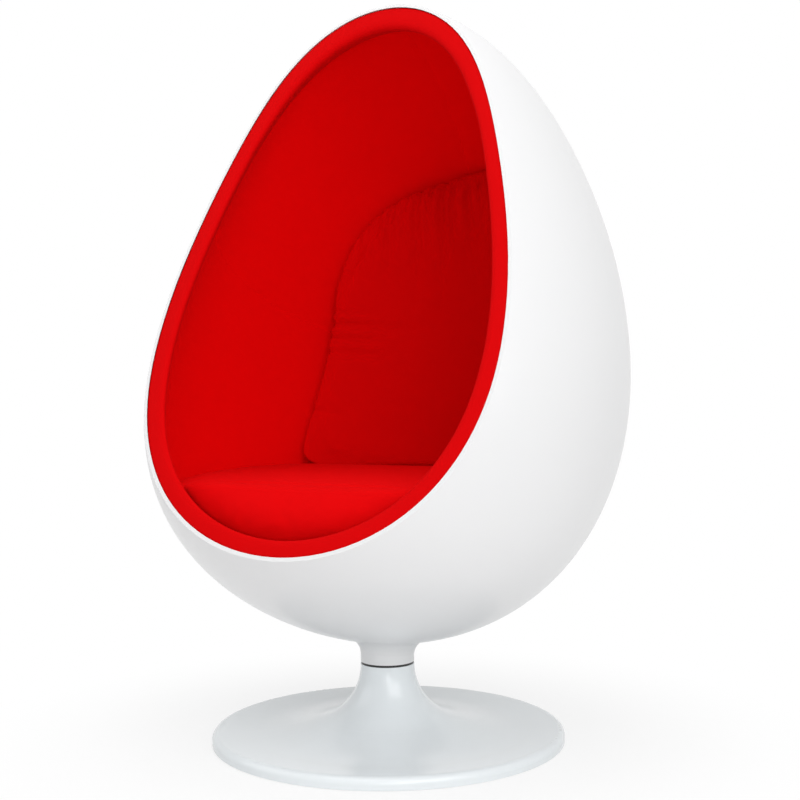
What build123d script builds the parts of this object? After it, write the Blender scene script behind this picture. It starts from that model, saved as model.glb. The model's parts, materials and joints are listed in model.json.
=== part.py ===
from build123d import *
from math import asin, cos, degrees, hypot, radians, sin, tan
import os

# Pod chair: an upholstered egg shell that swivels on a trumpet base.
# Millimetres, Z up. The origin is on the floor, on the swivel axis. The chair faces -Y.

# The egg. Every horizontal slice of it is a circle, and the centres lie on a leaning line.
EGG_BOTTOM = 167.0         # lowest point above the floor
EGG_TOP = 1300.0           # highest point, the height of the chair
EGG_RADIUS = 413.0         # radius at half height
EGG_TAPER = 0.247          # how much wider the slices are below than above
EGG_BELLY = 0.02           # fullness of both ends
EGG_CROWN = 0.08           # widens the crown again, and draws the bottom in
EGG_SETBACK = 35.0         # the slice at half height lies this far behind the swivel axis
EGG_LEAN = 0.19            # slope of the line of centres at half height
EGG_UPRIGHT = 0.186        # bends that line back to upright at both ends
EGG_LATITUDES = range(-80, 81, 20)
SHELL_WALL = 5.0

# The opening, one flat cut through the egg that leans back from upright.
OPENING_LEAN = 22.2        # degrees
OPENING_HEIGHT = 650.0
OPENING_REACH = 241.0      # the cut is this far in front of the swivel axis at that height

# The neck below the egg, where the pod turns on its base.
NECK_RADIUS = 47.5
NECK_BLEND = 26.0          # radius of the flare from the neck into the egg
NECK_WALL = 6.0
SEAM_HEIGHT = 132.0        # top of the base, below the seam
SEAM_GAP = 4.0
FLOOR_THICKNESS = 9.0      # moulded floor that closes the neck's socket
RUNNING_GAP = 0.05         # radial clearance of turning fits
FIT_GAP = 0.5              # clearance between parts that are only laid together

# Upholstery.
LINING = 20.0              # padded lining against the shell
RIM_WIDTH = 33.0           # padded roll round the opening, seen from the front
RIM_DEPTH = 42.0           # the same, from the opening inwards
RIM_SETBACK = 1.5          # the shell's lip stands this far proud of the roll
RIM_ROUNDING = 12.0
RIM_SLOPE_WIDTH = 6.0      # its inner side slopes away to the lining by this much
RIM_SLOPE_DEPTH = 24.0     # over this depth
PANEL_GAP = 0.6            # at the seams between panels
SIDE_SEAM_HEIGHT = 904.0   # the side seams meet the edge of the lining at this height
SIDE_SEAM_Y = -63.0
SIDE_SEAM_FALL = 25.8      # degrees that the side seams fall towards the back
GLUE_LINE = 0.2            # between glued parts and the shell

# Seat.
DECK_TOP = 340.0
DECK_THICKNESS = 15.0
DECK_EDGE_GAP = 5.0        # between its edge and the shell
DECK_VENT = 25.0           # radius of the vent holes in the deck
VENT_CIRCLE = 170.0
BLOCK_COUNT = 4
BLOCK_LAP = 57.0           # the blocks below it reach this far inwards from its edge
BLOCK_WIDTH = 60.0
BLOCK_HEIGHT = 50.0
DECK_SCREW_INSET = 15.0    # from the inner face of its block
DECK_SCREW_RADIUS = 2.5
DECK_SCREW_HEAD = 5.0
DECK_SCREW_LENGTH = 40.0
SEAT_EDGE_HEIGHT = 452.0
SEAT_CROWN_HEIGHT = 468.0
SEAT_EDGE_GAP = 6.0        # between the seat's upper edge and the lining
SEAT_SIDE_GAP = 3.0        # the same half-way down its side
SEAT_FOOT_SETBACK = 44.0   # its foot stays this far behind its front face
SEAT_ROUNDING = 22.0

# Back cushion, as its outline looks from the front.
BACK_FOOT = 464.0
BACK_FOOT_HALF = 304.0
BACK_WAIST = 640.0
BACK_WAIST_HALF = 300.0
BACK_SHOULDER = 925.0
BACK_SHOULDER_HALF = 248.0
BACK_BROW = 1015.0
BACK_BROW_HALF = 136.0
BACK_CROWN = 1045.0
BACK_CORNER = 50.0
BACK_MIDDLE = 740.0        # it is thickest at this height
BACK_THICKNESS = 88.0
BACK_FACE_RADIUS = 620.0   # hollow of its face, flatter than the wall behind it
BACK_START = 120.0         # its sides reach forward no further than this

# Trumpet base.
BASE_RADIUS = 310.0
BASE_WALL = 3.5
BASE_CLEAR = 1.0           # the cover's edge stays this far above the floor
FLARE_RADIUS = 112.0       # the steep part of the trumpet ends here
FLARE_HEIGHT = 38.0
DISH_RADIUS = 245.0        # here the foot turns up again
DISH_HEIGHT = 17.5
RIM_HEIGHT = 20.8          # and rises to its rounded edge
EDGE_ROUNDING = 11.0
FELT_RADIUS = 299.0
FELT_THICKNESS = 3.0
BASE_PLATE_RADIUS = 298.0
BASE_PLATE_THICKNESS = 8.0
ACCESS_RADIUS = 20.0       # hole in the plate below the spindle
COVER_SCREWS = 6
COVER_SCREW_CIRCLE = 262.0
COVER_SCREW_RADIUS = 2.5
COVER_SCREW_HEAD = 5.0
COVER_SCREW_LENGTH = 11.0
COVER_RIB_WIDTH = 16.0     # ring under the cover that takes its screws
SEAM_RING_INSET = 1.2      # the seam ring lies this far inside the neck's outline
SEAM_RING_SPIGOT = 8.0

# Column, spindle and bearing.
COLUMN_RADIUS = 30.0
COLUMN_BORE = 21.0
COLUMN_FOOT_RADIUS = 75.0
COLUMN_FOOT_THICKNESS = 8.0
COLUMN_BOLTS = 4
COLUMN_BOLT_CIRCLE = 55.0
COLUMN_BOLT_RADIUS = 5.0
COLUMN_BOLT_HEAD = 9.5
COLUMN_BOLT_LENGTH = 15.0
COLUMN_WELD = 6.0
SPINDLE_RADIUS = 14.0
BUSH_LENGTH = 26.0
LOWER_BUSH_HEIGHT = 40.0
FLANGE_RADIUS = 40.0
FLANGE_THICKNESS = 8.0
FLANGE_BOLTS = 4
FLANGE_BOLT_CIRCLE = 28.0
FLANGE_BOLT_RADIUS = 4.0
FLANGE_BOLT_HEAD = 6.5
FLANGE_BOLT_HEAD_HEIGHT = 8.0
RACE_RADIUS = 27.0
RACE_THICKNESS = 5.0
ROLLER_COUNT = 12
ROLLER_RADIUS = 2.5
ROLLER_LENGTH = 7.0
ROLLER_CIRCLE = 20.5
CAGE_THICKNESS = 3.0
CAGE_EDGE = 1.0            # the cage stays this far inside the races
END_WASHER_THICKNESS = 3.0
CIRCLIP_THICKNESS = 1.75
CIRCLIP_DEPTH = 1.0
CIRCLIP_REACH = 2.0
CIRCLIP_GAP = 6.0
END_WASHER_INSET = 1.5
PAD_RADIUS = 85.0
PAD_TOP = 190.0
PAD_BED_GAP = 1.2          # bedding compound between its round underside and the shell
BACKING_RADIUS = 75.0
BACKING_THICKNESS = 4.0
WASHER_THICKNESS = 1.6
WASHER_RADIUS = 8.0
SOCKET_SHARE = 0.8         # size of a hexagon socket over its screw's radius

EGG_HALF = (EGG_TOP - EGG_BOTTOM) / 2
EGG_MIDDLE = (EGG_TOP + EGG_BOTTOM) / 2
NECK_BOTTOM = SEAM_HEIGHT + SEAM_GAP
SOCKET_RADIUS = NECK_RADIUS - NECK_WALL
SOCKET_TOP = EGG_BOTTOM + SHELL_WALL - FLOOR_THICKNESS
LINING_FACE = SHELL_WALL + LINING
ROLL_BACK = RIM_SETBACK + RIM_DEPTH
DECK_BOTTOM = DECK_TOP - DECK_THICKNESS
PLATE_BOTTOM = FELT_THICKNESS
PLATE_TOP = PLATE_BOTTOM + BASE_PLATE_THICKNESS
UPPER_RACE_BOTTOM = SOCKET_TOP - FLANGE_THICKNESS - RACE_THICKNESS
RACE_GAP = 2 * (ROLLER_RADIUS + RUNNING_GAP)
LOWER_RACE_BOTTOM = UPPER_RACE_BOTTOM - RACE_GAP - RACE_THICKNESS
ROLLER_HEIGHT = UPPER_RACE_BOTTOM - RACE_GAP / 2
COLUMN_TOP = LOWER_RACE_BOTTOM
SPINDLE_END = LOWER_BUSH_HEIGHT - END_WASHER_THICKNESS - 3 * CIRCLIP_THICKNESS

parts = {}


def ring(outer, inner, bottom, top):
    """A flat ring or tube about the swivel axis."""
    tube = Cylinder(outer, top - bottom) - Cylinder(inner, top - bottom)
    return Pos(0, 0, (bottom + top) / 2) * tube


def disc(radius, bottom, top):
    """A solid disc or bar about the swivel axis."""
    return Pos(0, 0, (bottom + top) / 2) * Cylinder(radius, top - bottom)


def around(count, radius, start=0.0):
    """Places evenly spaced on a circle about the swivel axis."""
    return PolarLocations(radius, count, start)


def egg_slice(latitude, inset):
    """Centre and radius of the horizontal slice at this latitude of the drawn-in egg."""
    u = sin(radians(latitude))
    fullness = 1 - EGG_TAPER * u + EGG_BELLY * u**2 + EGG_CROWN * u**3
    setback = EGG_SETBACK + EGG_HALF * (EGG_LEAN * u - EGG_UPRIGHT * u**3)
    height = EGG_MIDDLE + (EGG_HALF - inset) * u
    return (0, setback, height), (EGG_RADIUS - inset) * cos(radians(latitude)) * fullness


def slice_at(height, inset):
    """Centre y and radius of the drawn-in egg's slice at this height."""
    latitude = degrees(asin((height - EGG_MIDDLE) / (EGG_HALF - inset)))
    centre, radius = egg_slice(latitude, inset)
    return centre[1], radius


def egg(inset):
    """The solid egg, drawn in by inset on every side, lofted through slices of four quarter arcs."""
    sections = [Vertex(*egg_slice(-90, inset)[0])]
    for latitude in EGG_LATITUDES:
        centre, radius = egg_slice(latitude, inset)
        quarters = [CenterArc((0, 0), radius, start, 90) for start in range(0, 360, 90)]
        sections.append(Plane(centre, x_dir=(0, 1, 0)) * make_face(quarters))
    sections.append(Vertex(*egg_slice(90, inset)[0]))
    return loft(sections)


def opening(depth=0.0):
    """The plane of the opening, moved into the pod by depth. It faces out of the pod."""
    lean = radians(OPENING_LEAN)
    facing = (0, -cos(lean), sin(lean))
    place = Plane((0, -OPENING_REACH, OPENING_HEIGHT), x_dir=(1, 0, 0), z_dir=facing)
    return place.offset(-depth)


def opening_y(height, depth):
    """Where that plane lies at this height, on the middle of the pod."""
    lean = radians(OPENING_LEAN)
    return depth / cos(lean) + (height - OPENING_HEIGHT) * tan(lean) - OPENING_REACH


def behind(shape, depth):
    """What is left of a shape behind the opening's plane at this depth."""
    return split(shape, bisect_by=opening(depth), keep=Keep.BOTTOM)


def in_front(shape, depth):
    """What is left of a shape in front of that plane."""
    return split(shape, bisect_by=opening(depth), keep=Keep.TOP)


def above(shape, height):
    """What is left of a shape above this height."""
    return split(shape, bisect_by=Plane.XY.offset(height), keep=Keep.TOP)


def hexagon_socket(radius, depth):
    """A hexagon socket for a key, going up from the origin."""
    return extrude(RegularPolygon(SOCKET_SHARE * radius, 6), depth)


def countersunk(radius, head_radius, length):
    """A countersunk screw along +Z, with the flat of its head at the origin."""
    head = head_radius - radius
    shank = Pos(0, 0, length / 2) * Cylinder(radius, length)
    cone = Pos(0, 0, head / 2) * Cone(head_radius, radius, head)
    return shank + cone - hexagon_socket(radius, head)


def screw_hole(radius, head_radius, length):
    """The hole for that screw, with running clearance all round."""
    head = head_radius - radius
    shank = Pos(0, 0, length / 2) * Cylinder(radius + RUNNING_GAP, length)
    cone = Cone(head_radius + RUNNING_GAP, radius + RUNNING_GAP, head)
    return shank + Pos(0, 0, head / 2) * cone


# ---- The pod's shell ------------------------------------------------------------------------

def is_neck_joint(edge):
    """Whether an edge runs where the neck meets the egg."""
    ends = [hypot(vertex.X, vertex.Y) for vertex in edge.vertices()]
    return edge.center().Z > EGG_BOTTOM and all(abs(end - NECK_RADIUS) < 0.1 for end in ends)


def pod_shell():
    """The glass-fibre egg with its opening, and the neck that flares out of its underside."""
    neck_top = EGG_BOTTOM + 2 * SHELL_WALL
    body = egg(0) + disc(NECK_RADIUS, NECK_BOTTOM, neck_top)
    body = fillet([edge for edge in body.edges() if is_neck_joint(edge)], NECK_BLEND)
    body = behind(body - egg(SHELL_WALL), 0)
    body -= disc(SOCKET_RADIUS, NECK_BOTTOM, SOCKET_TOP)
    for place in around(FLANGE_BOLTS, FLANGE_BOLT_CIRCLE, 45):
        body -= place * disc(FLANGE_BOLT_RADIUS + FIT_GAP / 2, SOCKET_TOP - 1, PAD_TOP)
    return body


# ---- Upholstery -----------------------------------------------------------------------------

def rim_roll():
    """The padded roll that follows the edge of the opening and slopes away to the lining."""
    roll = egg(SHELL_WALL + GLUE_LINE) - egg(SHELL_WALL + RIM_WIDTH)
    roll = in_front(behind(roll, RIM_SETBACK), ROLL_BACK)
    back = roll.faces().filter_by(GeomType.PLANE).sort_by(Axis.Y)[-1]
    roll = chamfer(back.inner_wires()[0].edges(), RIM_SLOPE_WIDTH, RIM_SLOPE_DEPTH, reference=back)
    front = roll.faces().filter_by(GeomType.PLANE).sort_by(Axis.Y)[0]
    return fillet(front.inner_wires()[0].edges(), RIM_ROUNDING)


def side_seam(offset):
    """The plane of the two side seams, which fall towards the back."""
    fall = radians(SIDE_SEAM_FALL)
    up = (0, sin(fall), cos(fall))
    return Plane((0, SIDE_SEAM_Y, SIDE_SEAM_HEIGHT), x_dir=(1, 0, 0), z_dir=up).offset(offset)


def lining_panels():
    """The four padded panels that line the shell, sewn at the middle and at both sides."""
    lining = egg(SHELL_WALL + GLUE_LINE) - egg(LINING_FACE)
    lining = behind(lining, ROLL_BACK + PANEL_GAP)
    lining = above(lining, DECK_TOP + PANEL_GAP)
    gap = PANEL_GAP / 2
    upper = split(lining, bisect_by=side_seam(gap), keep=Keep.TOP)
    lower = split(lining, bisect_by=side_seam(-gap), keep=Keep.BOTTOM)
    for level, pair in (("upper", upper), ("lower", lower)):
        left = split(pair, bisect_by=Plane.YZ.offset(-gap), keep=Keep.BOTTOM)
        right = split(pair, bisect_by=Plane.YZ.offset(gap), keep=Keep.TOP)
        parts[f"lining_{level}_left"] = left
        parts[f"lining_{level}_right"] = right


def seat_cushion():
    """A round, thick, crowned cushion, cut off in front where it meets the roll."""
    foot = DECK_TOP + FIT_GAP
    middle = (foot + SEAT_EDGE_HEIGHT) / 2
    front = ROLL_BACK + FIT_GAP
    centre_y, edge_wall = slice_at(SEAT_EDGE_HEIGHT, LINING_FACE)
    foot_radius = centre_y - opening_y(foot, front) - SEAT_FOOT_SETBACK
    side_radius = slice_at(middle, LINING_FACE)[1] - SEAT_SIDE_GAP
    edge_radius = edge_wall - SEAT_EDGE_GAP
    rise = SEAT_CROWN_HEIGHT - SEAT_EDGE_HEIGHT
    crown_radius = (edge_radius**2 + rise**2) / (2 * rise)
    centre = (0, SEAT_CROWN_HEIGHT)
    edge = (edge_radius, SEAT_EDGE_HEIGHT)
    outline = [
        Line((0, foot), (foot_radius, foot)),
        ThreePointArc((foot_radius, foot), (side_radius, middle), edge),
        RadiusArc(edge, centre, -crown_radius),
        Line(centre, (0, foot)),
    ]
    cushion = Pos(0, centre_y, 0) * revolve(Plane.XZ * make_face(outline), Axis.Z)
    cushion = behind(cushion, front)
    rounded = [
        edge for edge in cushion.edges()
        if edge.center().Z > SEAT_EDGE_HEIGHT - 1 or edge.geom_type == GeomType.BSPLINE
    ]
    return fillet(rounded, SEAT_ROUNDING)


def wall_behind(height, inset):
    """How far back the drawn-in egg reaches at this height."""
    return sum(slice_at(height, inset))


def back_cushion():
    """The crowned cushion that leans on the back of the egg and thins out towards its sides."""
    foot = (BACK_FOOT_HALF, BACK_FOOT)
    waist = (BACK_WAIST_HALF, BACK_WAIST)
    shoulder = (BACK_SHOULDER_HALF, BACK_SHOULDER)
    brow = (BACK_BROW_HALF, BACK_BROW)
    half = make_face([
        Line((0, BACK_FOOT), foot),
        ThreePointArc(foot, waist, shoulder),
        ThreePointArc(shoulder, brow, (0, BACK_CROWN)),
        Line((0, BACK_CROWN), (0, BACK_FOOT)),
    ])
    outline = half + mirror(half, Plane.YZ)
    corners = [vertex for vertex in outline.vertices() if abs(vertex.X) > BACK_SHOULDER_HALF / 2]
    outline = fillet(corners, BACK_CORNER)
    wall = LINING_FACE + FIT_GAP
    front = wall_behind(BACK_MIDDLE, wall) - BACK_THICKNESS
    block = Pos(0, BACK_START, 0) * extrude(Plane.XZ * outline, -EGG_RADIUS)
    hollow = Pos(0, front - BACK_FACE_RADIUS, BACK_MIDDLE) * Sphere(BACK_FACE_RADIUS)
    return (egg(wall) & block) - hollow


# ---- Inside the pod -------------------------------------------------------------------------

def seat_support():
    """The plywood deck with its vent holes, on four blocks bonded to the shell."""
    inside = egg(SHELL_WALL + GLUE_LINE)
    deck_y, wall = slice_at(DECK_BOTTOM, SHELL_WALL)
    deck_radius = wall - DECK_EDGE_GAP
    block_reach = deck_radius - BLOCK_LAP
    deck = Pos(0, deck_y, 0) * disc(deck_radius, DECK_BOTTOM, DECK_TOP)
    deck = behind(deck, ROLL_BACK + FIT_GAP)
    for place in around(BLOCK_COUNT, VENT_CIRCLE):
        deck -= place * disc(DECK_VENT, DECK_BOTTOM, DECK_TOP)
    inwards = (Align.MIN, Align.CENTER, Align.MAX)
    block = Box(EGG_RADIUS - block_reach, BLOCK_WIDTH, BLOCK_HEIGHT, align=inwards)
    screw = countersunk(DECK_SCREW_RADIUS, DECK_SCREW_HEAD, DECK_SCREW_LENGTH)
    hole = screw_hole(DECK_SCREW_RADIUS, DECK_SCREW_HEAD, DECK_SCREW_LENGTH)
    blocks = []
    screws = []
    for place in around(BLOCK_COUNT, block_reach, 45):
        down = place * Pos(DECK_SCREW_INSET, 0, DECK_TOP) * Rot(180, 0, 0)
        deck -= down * hole
        blocks.append((place * Pos(0, 0, DECK_BOTTOM) * block & inside) - down * hole)
        screws.append(down * screw)
    parts["seat_deck"] = deck
    parts["deck_blocks"] = Compound(blocks)
    parts["deck_screws"] = Compound(screws)


def swivel_mounting():
    """The pad and plate inside the shell, bolted through it to the spindle's flange."""
    plate_top = PAD_TOP + BACKING_THICKNESS
    washer_top = plate_top + WASHER_THICKNESS
    head_top = washer_top + FLANGE_BOLT_HEAD_HEIGHT
    flange_bottom = SOCKET_TOP - FLANGE_THICKNESS
    shell_floor = EGG_BOTTOM + SHELL_WALL
    bed_y, bed_reach = slice_at(PAD_TOP, SHELL_WALL)
    rise = PAD_TOP - shell_floor
    bed_radius = (bed_reach**2 + rise**2) / (2 * rise)
    pad = disc(PAD_RADIUS, shell_floor, PAD_TOP)
    pad &= Pos(0, bed_y, shell_floor + bed_radius) * Sphere(bed_radius - PAD_BED_GAP)
    plate = disc(BACKING_RADIUS, PAD_TOP, plate_top)
    flange = ring(FLANGE_RADIUS, SPINDLE_RADIUS, flange_bottom, SOCKET_TOP)
    loose = FLANGE_BOLT_RADIUS + FIT_GAP / 2
    washer = ring(WASHER_RADIUS, loose, plate_top, washer_top)
    bolt = disc(FLANGE_BOLT_RADIUS, flange_bottom, washer_top)
    bolt += disc(FLANGE_BOLT_HEAD, washer_top, head_top)
    socket = hexagon_socket(FLANGE_BOLT_RADIUS, FLANGE_BOLT_RADIUS)
    bolt -= Pos(0, 0, head_top - FLANGE_BOLT_RADIUS) * socket
    places = around(FLANGE_BOLTS, FLANGE_BOLT_CIRCLE, 45)
    for place in places:
        clearance = place * disc(loose, SOCKET_TOP, plate_top)
        pad -= clearance
        plate -= clearance
        flange -= place * disc(FLANGE_BOLT_RADIUS + RUNNING_GAP, flange_bottom, SOCKET_TOP)
    parts["floor_pad"] = pad
    parts["backing_plate"] = plate
    parts["swivel_flange"] = flange
    parts["flange_bolts"] = Compound([place * bolt for place in places])
    parts["flange_washers"] = Compound([place * washer for place in places])


# ---- Spindle and bearing --------------------------------------------------------------------

def bearing():
    """A roller thrust bearing round the spindle, and the two bushes that guide it."""
    bore = SPINDLE_RADIUS + RUNNING_GAP
    upper_top = UPPER_RACE_BOTTOM + RACE_THICKNESS
    lower_top = LOWER_RACE_BOTTOM + RACE_THICKNESS
    parts["upper_race"] = ring(RACE_RADIUS, bore, UPPER_RACE_BOTTOM, upper_top)
    parts["lower_race"] = ring(RACE_RADIUS, SPINDLE_RADIUS + CAGE_EDGE, LOWER_RACE_BOTTOM, lower_top)

    middle = Pos(0, 0, ROLLER_HEIGHT)
    half = CAGE_THICKNESS / 2
    cage = ring(RACE_RADIUS - CAGE_EDGE, SPINDLE_RADIUS + CAGE_EDGE, -half, half)
    pocket = Box(ROLLER_LENGTH + FIT_GAP, RACE_GAP, RACE_GAP)
    roller = Rot(0, 90, 0) * Cylinder(ROLLER_RADIUS, ROLLER_LENGTH)
    rollers = []
    for place in around(ROLLER_COUNT, ROLLER_CIRCLE):
        cage -= place * pocket
        rollers.append(middle * place * roller)
    parts["roller_cage"] = middle * cage
    parts["bearing_rollers"] = Compound(rollers)

    bush = ring(COLUMN_BORE, bore, 0, BUSH_LENGTH)
    parts["upper_bush"] = Pos(0, 0, COLUMN_TOP - BUSH_LENGTH) * bush
    parts["lower_bush"] = Pos(0, 0, LOWER_BUSH_HEIGHT) * bush


def spindle():
    """The steel spindle, held down by a washer and a circlip under the lower bush."""
    washer_bottom = LOWER_BUSH_HEIGHT - END_WASHER_THICKNESS - RUNNING_GAP
    clip_bottom = washer_bottom - CIRCLIP_THICKNESS
    groove = SPINDLE_RADIUS - CIRCLIP_DEPTH
    body = disc(SPINDLE_RADIUS, SPINDLE_END, SOCKET_TOP)
    body -= ring(SPINDLE_RADIUS + CIRCLIP_DEPTH, groove, clip_bottom, washer_bottom)
    parts["spindle"] = chamfer(body.edges().group_by(Axis.Z)[0], CIRCLIP_DEPTH)
    washer_top = washer_bottom + END_WASHER_THICKNESS
    bore = SPINDLE_RADIUS + RUNNING_GAP
    parts["end_washer"] = ring(COLUMN_BORE - END_WASHER_INSET, bore, washer_bottom, washer_top)
    clip = ring(SPINDLE_RADIUS + CIRCLIP_REACH, groove, clip_bottom, washer_bottom)
    gap = Box(SPINDLE_RADIUS, CIRCLIP_GAP, 4 * CIRCLIP_THICKNESS)
    parts["circlip"] = clip - Pos(SPINDLE_RADIUS, 0, clip_bottom) * gap


# ---- Base -----------------------------------------------------------------------------------

def base_cover():
    """The thin trumpet, open below, with a ring inside its foot that takes its screws."""
    neck = (NECK_RADIUS, SEAM_HEIGHT)
    edge = (BASE_RADIUS, RIM_HEIGHT)
    flare = TangentArc(neck, (FLARE_RADIUS, FLARE_HEIGHT), tangent=(0, -1))
    dish = TangentArc(flare @ 1, (DISH_RADIUS, DISH_HEIGHT), tangent=flare % 1)
    rise = TangentArc(dish @ 1, edge, tangent=dish % 1)
    # The outline runs past the base above and below, and those ends are cut away at the end.
    over = SEAM_HEIGHT + NECK_BLEND
    under = -NECK_BLEND
    ends = Polyline(edge, (BASE_RADIUS, under), (0, under), (0, over), (NECK_RADIUS, over), neck)
    outline = make_face([flare, dish, rise, *ends.edges()])
    corner = outline.vertices().sort_by_distance((*edge, 0))[0]
    outline = fillet(corner, EDGE_ROUNDING)

    wall = outline - offset(outline, -BASE_WALL)
    rib_height = RIM_HEIGHT - PLATE_TOP
    rib = Pos(COVER_SCREW_CIRCLE, PLATE_TOP + rib_height / 2) * Rectangle(COVER_RIB_WIDTH, rib_height)
    wall += rib & outline
    height = SEAM_HEIGHT - BASE_CLEAR
    width = BASE_RADIUS - COLUMN_RADIUS
    middle = Pos((BASE_RADIUS + COLUMN_RADIUS) / 2, BASE_CLEAR + height / 2)
    cover = revolve(Plane.XZ * (wall & middle * Rectangle(width, height)), Axis.Z)
    hole_top = PLATE_BOTTOM + COVER_SCREW_LENGTH + RUNNING_GAP
    for place in around(COVER_SCREWS, COVER_SCREW_CIRCLE):
        cover -= place * disc(COVER_SCREW_RADIUS + RUNNING_GAP, PLATE_BOTTOM, hole_top)
    return cover


def base_fittings():
    """The ballast plate and column inside the base, their screws, and the felt below."""
    plate = ring(BASE_PLATE_RADIUS, ACCESS_RADIUS, PLATE_BOTTOM, PLATE_TOP)
    upper_edge = plate.edges().group_by(Axis.Z)[-1].sort_by(SortBy.LENGTH)[-1]
    plate = chamfer(upper_edge, BASE_WALL)
    foot_top = PLATE_TOP + COLUMN_FOOT_THICKNESS
    column = ring(COLUMN_RADIUS, COLUMN_BORE, foot_top, COLUMN_TOP)
    column += ring(COLUMN_FOOT_RADIUS, COLUMN_BORE, PLATE_TOP, foot_top)
    weld = Cone(COLUMN_RADIUS + COLUMN_WELD, COLUMN_RADIUS, COLUMN_WELD)
    weld -= Cylinder(COLUMN_BORE, COLUMN_WELD)
    column += Pos(0, 0, foot_top + COLUMN_WELD / 2) * weld

    screw = countersunk(COVER_SCREW_RADIUS, COVER_SCREW_HEAD, COVER_SCREW_LENGTH)
    screw_gap = screw_hole(COVER_SCREW_RADIUS, COVER_SCREW_HEAD, COVER_SCREW_LENGTH)
    bolt = countersunk(COLUMN_BOLT_RADIUS, COLUMN_BOLT_HEAD, COLUMN_BOLT_LENGTH)
    bolt_gap = screw_hole(COLUMN_BOLT_RADIUS, COLUMN_BOLT_HEAD, COLUMN_BOLT_LENGTH)
    below = Pos(0, 0, PLATE_BOTTOM)
    screw_places = around(COVER_SCREWS, COVER_SCREW_CIRCLE)
    bolt_places = around(COLUMN_BOLTS, COLUMN_BOLT_CIRCLE, 45)
    for place in screw_places:
        plate -= below * place * screw_gap
    for place in bolt_places:
        plate -= below * place * bolt_gap
        column -= below * place * bolt_gap
    parts["base_plate"] = plate
    parts["column"] = column
    parts["cover_screws"] = Compound([below * place * screw for place in screw_places])
    parts["column_bolts"] = Compound([below * place * bolt for place in bolt_places])
    parts["floor_felt"] = disc(FELT_RADIUS, 0, FELT_THICKNESS)


def seam_ring():
    """The dark ring that fills the seam below the neck and plugs into the cover."""
    bore = COLUMN_RADIUS + FIT_GAP / 2
    spigot = NECK_RADIUS - BASE_WALL - FIT_GAP / 2
    collar = ring(NECK_RADIUS - SEAM_RING_INSET, bore, SEAM_HEIGHT, NECK_BOTTOM - FIT_GAP)
    return collar + ring(spigot, bore, SEAM_HEIGHT - SEAM_RING_SPIGOT, SEAM_HEIGHT)


parts["pod_shell"] = pod_shell()
parts["rim_roll"] = rim_roll()
lining_panels()
parts["seat_cushion"] = seat_cushion()
parts["back_cushion"] = back_cushion()
seat_support()
swivel_mounting()
bearing()
spindle()
parts["base_cover"] = base_cover()
base_fittings()
parts["seam_ring"] = seam_ring()

os.makedirs("parts", exist_ok=True)
for name, shape in parts.items():
    export_step(shape, f"parts/{name}.step")
    print(name, len(shape.solids()), round(shape.volume))
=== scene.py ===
# %% [markdown]
# # A pod chair, dressed for its picture
#
# The chair is an egg-shaped shell of glossy white gelcoat, padded inside with red wool,
# that swivels on a white trumpet base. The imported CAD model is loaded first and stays
# fixed. Every soft part is then modelled anew around it, and the hard parts keep their
# CAD shape and get a proper finish. Lengths are metres, the floor is z = 0, and the
# chair faces -Y.

# %% The frame
import bmesh
import bpy
import json
import numpy as np
from math import cos, pi, radians, sin
from mathutils import Matrix, Vector


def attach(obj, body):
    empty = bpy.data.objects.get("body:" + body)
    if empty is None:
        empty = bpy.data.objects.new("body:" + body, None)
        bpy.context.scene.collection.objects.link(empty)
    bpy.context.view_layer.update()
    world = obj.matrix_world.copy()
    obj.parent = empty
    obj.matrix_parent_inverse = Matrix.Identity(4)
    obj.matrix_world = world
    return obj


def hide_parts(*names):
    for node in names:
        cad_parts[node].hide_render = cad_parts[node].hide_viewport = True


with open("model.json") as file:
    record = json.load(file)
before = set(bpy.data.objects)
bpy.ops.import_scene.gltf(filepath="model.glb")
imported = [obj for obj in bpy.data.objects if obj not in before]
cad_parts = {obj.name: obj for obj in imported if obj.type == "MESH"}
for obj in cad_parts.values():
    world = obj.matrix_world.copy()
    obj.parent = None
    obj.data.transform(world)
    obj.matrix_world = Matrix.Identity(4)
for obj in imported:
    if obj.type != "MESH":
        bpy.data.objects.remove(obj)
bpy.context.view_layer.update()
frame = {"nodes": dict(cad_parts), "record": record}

nodes = frame["nodes"]

# %% [markdown]
# ## The egg as a formula
#
# Rim, lining and cushions all lie against the inside of the egg, so the egg is written
# once as a formula: each horizontal slice is a circle, and the centres of the circles
# lie on a leaning, slightly bent line. The numbers are those of the CAD source.

# %% The egg's slices
EGG_MIDDLE = 0.7335
EGG_HALF = 0.5665
EGG_RADIUS = 0.413
EGG_TAPER = 0.247
EGG_BELLY = 0.02
EGG_CROWN = 0.08
EGG_SETBACK = 0.035
EGG_LEAN = 0.19
EGG_UPRIGHT = 0.186
SHELL_WALL = 0.005
LINING = 0.020
LONGEST_RAY = 1.5
RAY_HALVINGS = 36


def egg_slice(z, inset):
    """Centre y and radius of the slice at height z of the egg drawn in by inset."""
    u = np.clip((z - EGG_MIDDLE) / (EGG_HALF - inset), -1, 1)
    centre = EGG_SETBACK + EGG_HALF * (EGG_LEAN * u - EGG_UPRIGHT * u**3)
    fullness = 1 - EGG_TAPER * u + EGG_BELLY * u**2 + EGG_CROWN * u**3
    return centre, (EGG_RADIUS - inset) * np.sqrt(1 - u * u) * fullness


def outside(points, inset):
    """Whether points lie outside the egg drawn in by inset."""
    centre, radius = egg_slice(points[:, 2], inset)
    return np.hypot(points[:, 0], points[:, 1] - centre) > radius


def reach(starts, directions, inset):
    """How far each ray from inside runs before it meets the egg drawn in by inset."""
    near = np.zeros(len(starts))
    far = np.full(len(starts), LONGEST_RAY)
    for _ in range(RAY_HALVINGS):
        middle = (near + far) / 2
        out = outside(starts + middle[:, None] * directions, inset)
        far = np.where(out, middle, far)
        near = np.where(out, near, middle)
    return near


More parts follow.
